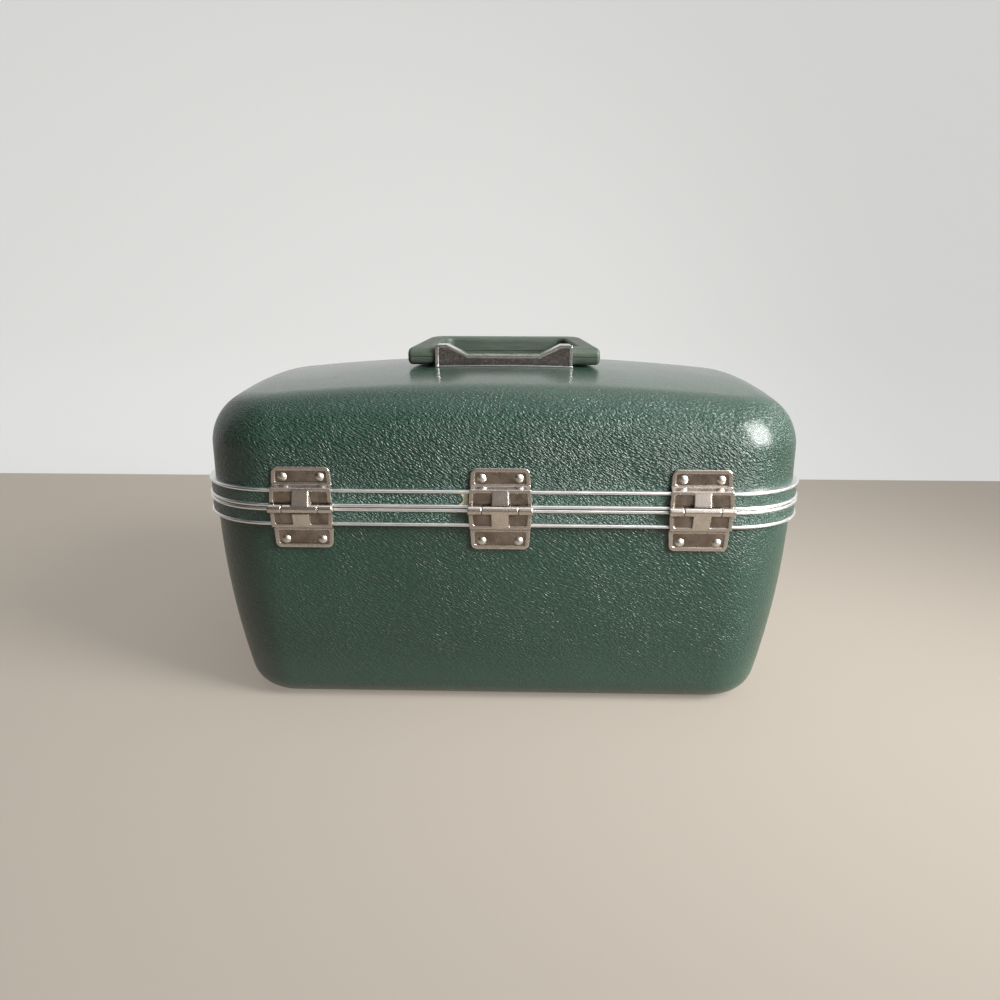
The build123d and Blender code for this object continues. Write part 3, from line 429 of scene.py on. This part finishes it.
def cream_plug(t, p):
    """Cream plastic with a brown stain in patches."""
    blotches = patches(t, t.coord(), 700.0, 3.0, span=(0.45, 0.7))
    t.put(p, "Base Color", t.mix(blotches, (0.62, 0.60, 0.44), (0.42, 0.38, 0.24)))
    p.inputs["Roughness"].default_value = 0.45
    bump(t, p, blotches, 0.00008, 0.5, 0.0002)


def aluminium(t, p):
    """Polished bead: drawn lines along the rim, dull oxide in patches."""
    m = use(t, METAL_MARKS, Vector=t.coord())
    base = t.mix(t.math("MULTIPLY", m["Tarnish"], 0.25), (0.90, 0.90, 0.895), (0.72, 0.71, 0.68))
    base = t.mix(t.math("MULTIPLY", m["Spots"], 0.2), base, (0.32, 0.31, 0.28))
    t.put(p, "Base Color", base)
    p.inputs["Metallic"].default_value = 1.0
    t.put(p, "Roughness", t.ramp(m["Tarnish"], 0.0, 1.0, 0.30, 0.42, smooth=False))
    bump(t, p, m["Height"], 0.000004, 0.3)


def hinge_panels(t, v):
    """1 in the leaves' sunk panels, where the surface lies deeper than the border would.

    The border stands at one level on the shell and at a higher one over the rims.
    """
    x, y, z = t.xyz(v)
    out = t.math("SUBTRACT", REAR_FACE, y)
    up = t.math("ABSOLUTE", t.math("SUBTRACT", z, PARTING))
    border = t.ramp(up, RIM_TOP, RIM_TOP + RIM_ROUND, STEP_LEVEL, PLATE_LEVEL, smooth=False)
    sunk = t.ramp(t.math("SUBTRACT", border, out), 0.00012, 0.00026)
    return t.math("MULTIPLY", sunk, use(t, FLAT_FACE)["Mask"])


def bracket_panels(t, v):
    """1 on the bracket's sunk faces, which lie nearer its middle than the lip does."""
    across = t.math("ABSOLUTE", t.math("SUBTRACT", t.xyz(v)[1], BRACKET_MIDDLE))
    return t.math("MULTIPLY", t.ramp(across, LIP_FROM, LIP_TO, 1.0, 0.0),
                  use(t, FLAT_FACE)["Mask"])


def nickel(dirt_and_shade, bright, rough, bevel, panels=None, reach=0.0022):
    """Aged nickel plate: warm grey, dirty in sunk panels, darkened in corners by painted shade and
    dirt, worn bright on the edges.
    """
    tarnished = tinted(bright, (0.74, 0.70, 0.63))
    polished = tinted(bright, (1.3, 1.3, 1.3))
    browned = tinted(bright, (0.36, 0.31, 0.27))

    def build(t, p):
        v = t.coord()
        m = use(t, METAL_MARKS, Vector=v)
        wear_and_shade_masks = use(t, EDGE_WEAR_AND_SHADE, Radius=bevel, Reach=reach)
        base = t.mix(t.math("MULTIPLY", m["Tarnish"], 0.5), bright, tarnished)
        base = t.mix(t.math("MULTIPLY", wear_and_shade_masks["Edge"], 0.6), base, polished)
        if panels:
            cloud = patches(t, v, 160.0, 3.0, level=(0.65, 1.0))
            base = t.mix(t.math("MULTIPLY", panels(t, v), cloud), base, browned)
        # Painted shade and dirt: darker in corners, where nearby walls shade the surface.
        base = t.mix(t.math("MULTIPLY", wear_and_shade_masks["Corner"], dirt_and_shade), base, (0.060, 0.050, 0.036))
        base = t.mix(t.math("MULTIPLY", m["Spots"], 0.4 * dirt_and_shade), base, (0.16, 0.13, 0.09))
        t.put(p, "Base Color", base)
        p.inputs["Metallic"].default_value = 1.0
        dull = t.math("MULTIPLY_ADD", m["Tarnish"], 0.10, rough)
        t.put(p, "Roughness", t.math("MULTIPLY_ADD", wear_and_shade_masks["Corner"], 0.2, dull))
        bump(t, p, m["Height"], 0.00001, 0.4, bevel)

    return build


def chrome(t, p):
    """Bright plated bracket: faint pitting, a painted dark reflection on the sunk faces inside the
    lip, bright along its edges.
    """
    v = t.coord()
    m = use(t, METAL_MARKS, Vector=v)
    base = t.mix(t.math("MULTIPLY", m["Spots"], 0.6), (0.84, 0.84, 0.84), (0.30, 0.26, 0.22))
    base = t.mix(t.math("MULTIPLY", m["Tarnish"], 0.25), base, (0.64, 0.60, 0.56))
    # Painted reflection: the sunk faces are darkened in blotches, standing for the dark room they
    # would reflect.
    blotches = patches(t, v, 700.0, 4.0, 0.7, span=(0.35, 0.65), level=(0.7, 1.0))
    base = t.mix(t.math("MULTIPLY", bracket_panels(t, v), blotches), base, (0.27, 0.25, 0.245))
    t.put(p, "Base Color", base)
    p.inputs["Metallic"].default_value = 1.0
    t.put(p, "Roughness", t.ramp(m["Tarnish"], 0.0, 1.0, 0.14, 0.26, smooth=False))
    bump(t, p, t.noise(v, 900.0, 3.0), 0.00006, 0.6, 0.0005)


def zinc(t, p):
    """Dull zinc plate with a faint spangle of coloured cells."""
    v = t.coord()
    m = use(t, METAL_MARKS, Vector=v)
    spangle = t.voronoi(v, 260.0, "F1", output="Color")
    t.put(p, "Base Color", t.mix(0.25, (0.52, 0.53, 0.54), spangle, "SOFT_LIGHT"))
    p.inputs["Metallic"].default_value = 1.0
    t.put(p, "Roughness", t.ramp(m["Tarnish"], 0.0, 1.0, 0.35, 0.5, smooth=False))
    bump(t, p, m["Height"], 0.00003, 0.5, 0.0002)


def handle_plastic(t, p):
    """Moulded plastic with flow streaks along the bar and fine handling marks."""
    v = t.coord()
    flow = t.noise(t.mapping(v, scale=(0.12, 1.0, 1.0)), 240.0, 4.0, 0.6)
    marks = use(t, RUBS, Vector=v, Turn=(0.2, 0.3, 0.5), Stretch=(0.06, 1.0, 1.0),
                Scale=3200.0, Detail=2.0, From=0.60, To=0.72)["Mask"]
    base = t.mix(t.ramp(flow, 0.35, 0.65), (0.042, 0.056, 0.041), (0.058, 0.073, 0.055))
    base = t.mix(t.math("MULTIPLY", marks, 0.25), base, (0.17, 0.21, 0.18))
    t.put(p, "Base Color", base)
    smooth = t.ramp(flow, 0.3, 0.7, 0.38, 0.48)
    t.put(p, "Roughness", t.math("MULTIPLY_ADD", marks, 0.18, smooth))
    p.inputs["Specular IOR Level"].default_value = 0.25
    height = t.math("MULTIPLY_ADD", flow, 0.7, t.math("MULTIPLY", marks, -0.2))
    bump(t, p, height, 0.00012, 0.5, 0.0004)


def lining(t, p):
    """Satin-faced lining cloth: fine weave, soft sheen and gentle shading."""
    v = t.coord()
    w = use(t, WEAVE, Vector=v, Threads=1100.0)
    base = t.mix(patches(t, v, 14.0), (0.42, 0.48, 0.36), (0.47, 0.53, 0.41))
    between = t.ramp(w["Height"], 0.1, 0.5, 1.0, 0.0)
    base = t.mix(t.math("MULTIPLY", between, 0.35), base, (0.22, 0.27, 0.19))
    t.put(p, "Base Color", base)
    p.inputs["Roughness"].default_value = 0.62
    p.inputs["Sheen Weight"].default_value = 0.35
    p.inputs["Sheen Roughness"].default_value = 0.4
    puff = t.noise(t.mapping(v, scale=(1.0, 0.35, 0.35)), 40.0, 1.0)
    bump(t, p, t.math("MULTIPLY_ADD", puff, 1.5, w["Height"]), 0.00020, 0.7)


def tray_plastic(t, p):
    """Pale moulded plastic: soft clouds of colour, orange-peel skin and long rubs."""
    v = t.coord()
    rubs = use(t, RUBS, Vector=v, Turn=(0.0, 0.0, 0.6), Stretch=(0.08, 1.0, 1.0),
               Scale=900.0, Detail=3.0, From=0.62, To=0.74)["Mask"]
    base = t.mix(patches(t, v, 16.0, 3.0), (0.42, 0.52, 0.40), (0.50, 0.59, 0.47))
    base = t.mix(t.math("MULTIPLY", rubs, 0.3), base, (0.66, 0.70, 0.62))
    t.put(p, "Base Color", base)
    t.put(p, "Roughness", t.math("MULTIPLY_ADD", rubs, 0.2, 0.32))
    bump(t, p, t.noise(v, 900.0), 0.00005, 0.5, 0.0004)


def mirror_silver(t, p):
    """Silvered glass: a slight haze in patches and a few dark specks."""
    v = t.coord()
    haze = patches(t, v, 60.0, 4.0, 0.6, span=(0.5, 0.8))
    specks = use(t, SPECKS, Vector=v, Scale=420.0, From=0.04, To=0.07)["Mask"]
    specks = t.math("MULTIPLY", specks, patches(t, v, 30.0, span=(0.55, 0.7)))
    specks = t.math("MULTIPLY", specks, 0.6)
    t.put(p, "Base Color", t.mix(specks, (0.86, 0.89, 0.88), (0.2, 0.2, 0.18)))
    p.inputs["Metallic"].default_value = 1.0
    t.put(p, "Roughness", t.ramp(haze, 0.0, 1.0, 0.02, 0.07, smooth=False))


def foam(t, p):
    """Dark open-celled foam, black between its cells."""
    cells = t.ramp(t.voronoi(t.coord(), 1400.0), 0.0, 0.25)
    t.put(p, "Base Color", t.mix(cells, (0.05, 0.05, 0.05), (0.22, 0.22, 0.21)))
    p.inputs["Roughness"].default_value = 0.9
    bump(t, p, cells, 0.0002, 0.8)


def brass(t, p):
    """Turned brass with drawn lines and brown tarnish."""
    m = use(t, METAL_MARKS, Vector=t.coord())
    base = t.mix(t.math("MULTIPLY", m["Tarnish"], 0.8), (0.80, 0.62, 0.30), (0.46, 0.33, 0.14))
    t.put(p, "Base Color", base)
    p.inputs["Metallic"].default_value = 1.0
    t.put(p, "Roughness", t.ramp(m["Tarnish"], 0.0, 1.0, 0.22, 0.42, smooth=False))
    bump(t, p, m["Height"], 0.00004, 0.6, 0.0002)


aged_nickel = nickel(0.85, (0.62, 0.56, 0.51), 0.22, 0.0011, panels=hinge_panels)
rivet_nickel = nickel(0.85, (0.70, 0.65, 0.59), 0.34, 0.0002, reach=0.0009)
pin_steel = nickel(0.6, (0.70, 0.68, 0.64), 0.22, 0.0002)
lock_nickel = nickel(0.5, (0.76, 0.74, 0.69), 0.16, 0.0004)

MATERIALS = {
    "shell_green": material("grained_green", green_shell),
    "strip_green": material("strip_green", green_strip),
    "plug_cream": material("cream_plug", cream_plug),
    "rim_aluminium": material("bead_aluminium", aluminium),
    "hinge_nickel": material("aged_nickel", aged_nickel),
    "rivet_nickel": material("rivet_nickel", rivet_nickel),
    "pin_steel": material("pin_steel", pin_steel),
    "bracket_chrome": material("bracket_chrome", chrome),
    "lock_chrome": material("lock_nickel", lock_nickel),
    "plate_steel": material("zinc_steel", zinc),
    "handle_green": material("handle_plastic", handle_plastic),
    "key_brass": material("key_brass", brass),
    "lining_fabric": material("lining_cloth", lining),
    "mirror_glass": material("mirror_silver", mirror_silver),
    "mirror_frame_green": material("frame_plastic", tray_plastic),
    "tray_green": material("tray_plastic", tray_plastic),
    "pad_foam": material("pad_foam", foam),
}

slots = {s["node"]: s["material_slot"] for s in frame["record"]["subparts"]}
for name, obj in NODES.items():
    obj.data.materials.clear()
    obj.data.materials.append(MATERIALS[slots[name]])


# ---------------------------------------------------------------- latch springs
SPRING_WELD = 0.000002  # points nearer than this are one point


def folding_spring(side):
    """The folded spring strip as its own piece: the solid's mesh with its doubles merged.

    On the real case the thumb button presses it flat, along the slide, towards the pocket's end;
    here it keeps its folded shape.
    """
    node = f"latch_spring_{side}"
    mesh = NODES[node].data.copy()
    bm = bmesh.new()
    bm.from_mesh(mesh)
    bmesh.ops.remove_doubles(bm, verts=bm.verts, dist=SPRING_WELD)
    bm.to_mesh(mesh)
    bm.free()
    spring = bpy.data.objects.new(f"folded_spring_{side}", mesh)
    bpy.context.scene.collection.objects.link(spring)
    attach(spring, "base")
    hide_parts(node)
    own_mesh(spring)


for side in ("left", "right"):
    folding_spring(side)


# ---------------------------------------------------------------- floor and backdrop
STAGE_HALF_WIDTH = 4.0
FLOOR_FRONT = -3.0      # the floor's near edge
BEND_START = 0.50       # where the backdrop starts to rise, behind the case
BEND = 0.18             # radius of its bend
WALL_TOP = 3.0


def sweep_sheet(name, profile, mat):
    """Sheet with the profile's (y, z) points at x = -w and again at x = w, joined by quads."""
    n = len(profile)
    verts = np.zeros((2, n, 3))
    verts[:, :, 0] = np.array([[-STAGE_HALF_WIDTH], [STAGE_HALF_WIDTH]])
    verts[:, :, 1:] = profile
    k = np.arange(n - 1)
    faces = np.stack([k, k + 1, n + k + 1, n + k], axis=1)
    me = bpy.data.meshes.new(name)
    me.from_pydata(verts.reshape(-1, 3).tolist(), [], faces.tolist())
    me.validate()
    me.polygons.foreach_set("use_smooth", [True] * len(faces))
    me.materials.append(mat)
    ob = bpy.data.objects.new(name, me)
    bpy.context.scene.collection.objects.link(ob)
    return ob


def background_rays(t):
    """1 on rays that show the background: from the camera, off metal and through glass."""
    rays = t.node("ShaderNodeLightPath").outputs
    gloss = t.math("ADD", rays["Is Glossy Ray"], rays["Is Transmission Ray"], clamp=True)
    return t.math("ADD", rays["Is Camera Ray"], gloss, clamp=True)


def plain(name, colour, rough, seen, shown):
    """Plain painted surface; background rays also see the share "seen" of a plain shown colour."""

    def build(t, p):
        t.put(p, "Base Color", t.mix(t.noise(t.coord(), 3.0), colour, tinted(colour, (0.97,) * 3)))
        p.inputs["Roughness"].default_value = rough
        p.inputs["Specular IOR Level"].default_value = 0.2
        glow = t.node("ShaderNodeEmission", None, Color=(*shown, 1.0), Strength=1.0)
        share = t.math("MULTIPLY", background_rays(t), seen)
        t.link(t.mix_shaders(share, p.outputs[0], glow.outputs[0]), t.surface)

    return material(name, build)


SHOWN_WALL = (0.75, 0.75, 0.735)
floor_mat = plain("pale_floor", (0.34, 0.305, 0.262), 0.8, 0.45, (0.54, 0.48, 0.41))
wall_mat = plain("pale_wall", (0.70, 0.70, 0.69), 0.9, 0.75, SHOWN_WALL)

turn = np.linspace(0, math.pi / 2, 24)
arc = np.stack([BEND_START + BEND * np.sin(turn), BEND - BEND * np.cos(turn)], axis=1)
floor = sweep_sheet("floor", [(FLOOR_FRONT, 0.0), (BEND_START, 0.0)], floor_mat)
wall = sweep_sheet("backdrop", np.vstack([arc, (BEND_START + BEND, WALL_TOP)]), wall_mat)


# ---------------------------------------------------------------- light
def area(name, loc, aim, size, power, spread=180, colour=(1, 1, 1)):
    """Rectangular lamp at loc that faces aim; spread in degrees narrows its beam."""
    d = bpy.data.lights.new(name, "AREA")
    d.spread = math.radians(spread)
    d.shape = "RECTANGLE"
    d.size, d.size_y = size
    d.energy = power
    d.color = colour
    ob = bpy.data.objects.new(name, d)
    ob.location = loc
    ob.rotation_mode = "QUATERNION"
    ob.rotation_quaternion = (Vector(aim) - Vector(loc)).to_track_quat("-Z", "Y")
    bpy.context.scene.collection.objects.link(ob)


area("window_right", loc=(0.74, -0.45, 0.56), aim=(0.06, 0.0, 0.15), size=(0.42, 0.60),
     power=6.3, spread=80, colour=(1.0, 0.995, 0.985))
area("soft_top", loc=(0.35, 0.30, 1.5), aim=(0.0, 0.15, 0.1), size=(1.2, 0.8), power=2.0)


def studio_world():
    """Dim studio, darker to the left. The camera itself sees the wall's plain colour.

    The level is the sum of four terms: a soft rise towards the top, a bright patch overhead,
    a broad pale glow to the front right, and the warm band of a room in front.
    """
    w = bpy.data.worlds.new("studio")
    bpy.context.scene.world = w
    w.use_nodes = True
    w.node_tree.nodes.clear()
    t = Tree(w.node_tree)
    x, y, z = t.xyz(t.node("ShaderNodeTexCoord").outputs["Generated"])

    rise = t.math("MULTIPLY", t.ramp(z, -0.1, 1.0, 0.01, 0.22), t.ramp(x, -0.7, 0.5, 0.06, 1.0))
    overhead = t.math("MULTIPLY", t.ramp(z, 0.80, 0.98, 0.0, 1.5), t.ramp(x, -0.6, 0.1, 0.7, 1.0))
    to_front = t.math("MULTIPLY_ADD", y, -0.45, t.math("MULTIPLY", z, 0.38))
    toward = t.math("ADD", t.math("MULTIPLY", x, 0.80), to_front)
    glow = t.ramp(toward, 0.50, 0.98)
    room = t.math("MULTIPLY", t.ramp(y, -0.95, -0.55, 0.55, 0.0), t.ramp(z, 0.18, 0.38))
    for part in (t.ramp(z, 0.50, 0.72, 1.0, 0.1),
                 t.ramp(x, -0.60, 0.10, 0.20, 1.0),
                 t.ramp(x, 0.0, 0.5, 1.0, 2.4)):
        room = t.math("MULTIPLY", room, part)

    level = rise
    for part in (glow, overhead, room):
        level = t.math("ADD", level, part)
    warm = t.math("DIVIDE", room, t.math("ADD", level, 0.001))
    colour = t.mix(warm, (0.93, 0.96, 1.0), (1.0, 0.91, 0.82))
    studio = t.node("ShaderNodeBackground", None, Color=colour, Strength=level)
    shown = t.node("ShaderNodeBackground", None, Color=(*SHOWN_WALL, 1.0), Strength=1.0)
    ray = t.node("ShaderNodeLightPath").outputs["Is Camera Ray"]
    both = t.mix_shaders(ray, studio.outputs[0], shown.outputs[0])
    t.link(both, t.node("ShaderNodeOutputWorld").inputs["Surface"])


studio_world()


# ---------------------------------------------------------------- camera
YAW, PITCH, ROLL = 0.02457, 0.26412, -0.00244      # radians
CAMERA_AT = (0.010246, -0.539648, PARTING + 0.119439)
FOCAL_SHARE = 0.78671   # focal length over the frame's width
FRAME_WIDTH = 36.0      # millimetres


def camera():
    """Pinhole camera fitted to the photo: a lens of 28.3 mm on a square frame of 36 mm."""
    turned = Matrix.Rotation(YAW, 3, "Z") @ Matrix.Rotation(-PITCH, 3, "X")
    right, ahead, up = (turned @ Matrix.Rotation(ROLL, 3, "Y")).col
    rot = Matrix((right, up, -ahead)).transposed()
    d = bpy.data.cameras.new("camera")
    d.sensor_width = FRAME_WIDTH
    d.lens = FOCAL_SHARE * FRAME_WIDTH
    d.clip_start = 0.01
    ob = bpy.data.objects.new("camera", d)
    ob.matrix_world = Matrix.Translation(CAMERA_AT) @ rot.to_4x4()
    bpy.context.scene.collection.objects.link(ob)
    bpy.context.scene.camera = ob


camera()
bpy.context.scene.view_settings.view_transform = "Standard"
